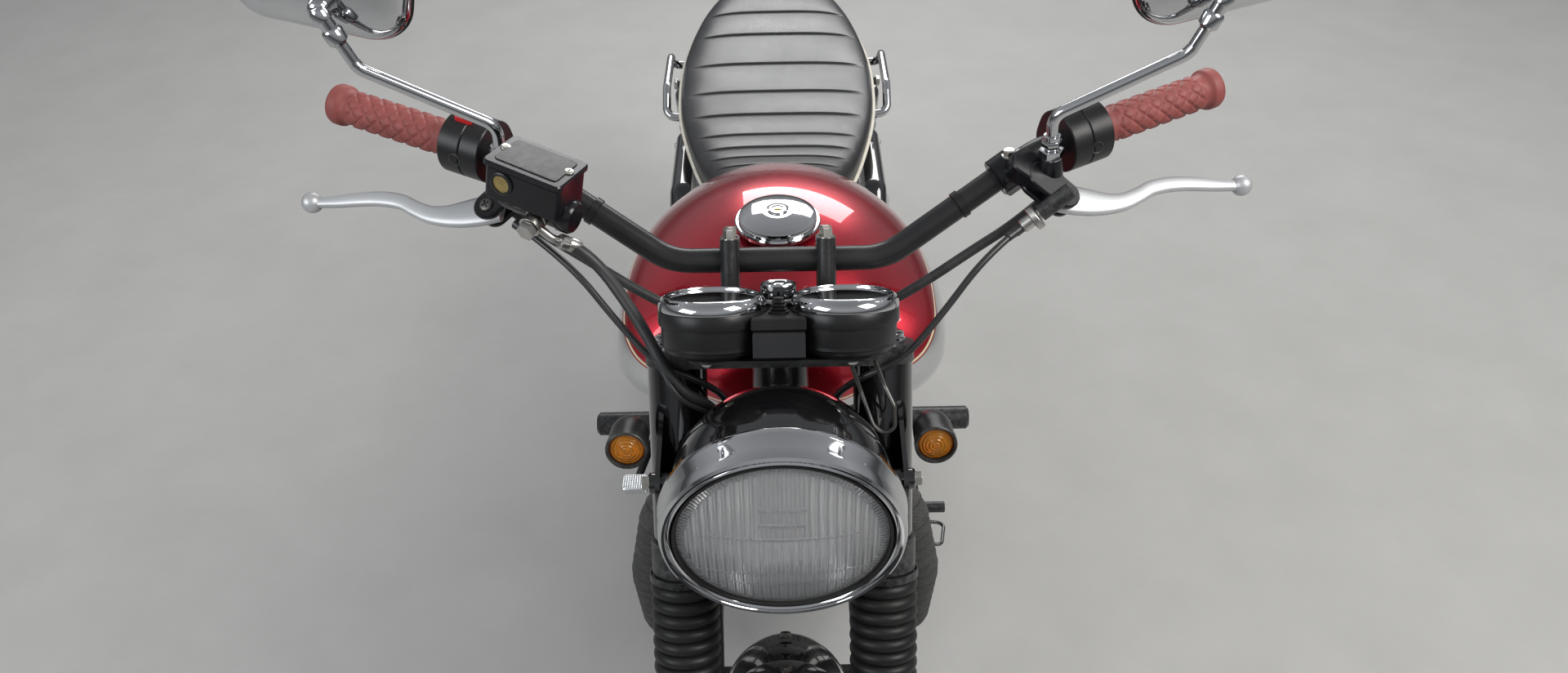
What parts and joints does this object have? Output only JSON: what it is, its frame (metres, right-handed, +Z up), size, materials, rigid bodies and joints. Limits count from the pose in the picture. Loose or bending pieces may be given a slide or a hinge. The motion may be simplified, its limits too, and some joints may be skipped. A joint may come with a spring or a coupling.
{
  "type": "classic roadster motorcycle",
  "caption": "Retro two-wheeled road machine on its centre stand, with wide bars, round lamp, twin dials, teardrop tank, pleated seat and wire wheels.",
  "frame": {"origin": "on the floor, at the middle of the machine's length and width, standing on its centre stand", "axes": "+Z up, -Y towards the front wheel, +X towards the machine's left side"},
  "size_m": [0.859, 2.1742, 1.2951],
  "materials": {
    "black_paint": "gloss black paint",
    "satin_black": "satin black paint",
    "tank_red": "candy red metallic lacquer with chromed lower sides",
    "chrome": "polished chrome plate",
    "steel": "zinc-plated and machined steel",
    "alloy": "satin cast aluminium",
    "iron_black": "black-finned barrels",
    "tyre": "road tyre",
    "rubber": "black rubber",
    "grip_rubber": "brick-red diamond-quilted grip",
    "black_plastic": "moulded black plastic",
    "gloss_black": "gloss black moulding",
    "red_lens": "red lamp lens",
    "clear_glass": "clear fluted glass",
    "leather": "black pleated seat cover with cream piping",
    "pipe_wrap": "charcoal woven exhaust wrap",
    "mirror_glass": "chromed mirror head"
  },
  "bodies": {
    "frame": {"main_frame": "satin_black", "swingarm": "satin_black", "rear_axle": "steel", "rear_shocks": "chrome", "rear_brake_plate": "alloy", "engine_block": "alloy", "engine_covers": "alloy", "cylinders": "iron_black", "cylinder_head": "iron_black", "carburettors": "alloy", "air_box": "black_plastic", "header_pipes": "pipe_wrap", "silencers": "chrome", "fuel_tank": "tank_red", "fuel_cap": "chrome", "seat": "leather", "side_covers": "black_paint", "rear_fender": "black_paint", "tail_lamp": "chrome", "tail_lens": "red_lens", "grab_rails": "chrome", "plate_bracket": "black_plastic", "chain": "steel", "foot_controls": "steel"},
    "steering": {"lower_yoke": "satin_black", "upper_yoke": "satin_black", "fork_tubes": "chrome", "fork_sliders": "satin_black", "fork_gaiters": "rubber", "fork_covers": "black_paint", "front_axle": "steel", "front_fender": "black_paint", "brake_caliper": "satin_black", "headlamp_shell": "black_paint", "headlamp_rim": "chrome", "headlamp_glass": "clear_glass", "headlamp_reflector": "chrome", "front_indicators": "gloss_black", "instrument_cups": "satin_black", "instrument_bezels": "chrome", "instrument_glasses": "clear_glass", "handlebar": "satin_black", "grips": "grip_rubber", "switch_housings": "black_plastic", "lever_perches": "satin_black", "hand_levers": "alloy", "mirrors": "mirror_glass", "brake_hose": "rubber", "control_cables": "rubber"},
    "front_wheel": {"front_tyre": "tyre", "front_wheel": "black_paint", "front_disc": "steel"},
    "rear_wheel": {"rear_tyre": "tyre", "rear_wheel": "black_paint", "rear_sprocket": "steel"},
    "centre_stand": {"centre_stand": "satin_black"},
    "side_stand": {"side_stand": "satin_black"}
  },
  "joints": [
    {"name": "steering", "type": "hinge", "parent": "frame", "child": "steering", "pos_m": [0, -0.43567, 0.84107], "axis": [0, 0.454, 0.891], "range_deg": [-35, 35]},
    {"name": "front_wheel_spin", "type": "hinge", "parent": "steering", "child": "front_wheel", "pos_m": [0, -0.75622, 0.331], "axis": [1, 0, 0], "continuous": true},
    {"name": "rear_wheel_spin", "type": "hinge", "parent": "frame", "child": "rear_wheel", "pos_m": [0, 0.70378, 0.345], "axis": [1, 0, 0], "continuous": true},
    {"name": "centre_stand_fold", "type": "hinge", "parent": "frame", "child": "centre_stand", "pos_m": [0, 0.096, 0.18], "axis": [1, 0, 0], "range_deg": [0, 85]},
    {"name": "side_stand_swing", "type": "hinge", "parent": "frame", "child": "side_stand", "pos_m": [0.136, -0.13, 0.2], "axis": [-0.8282, 0.1247, -0.5464], "range_deg": [0, 91]}
  ]
}
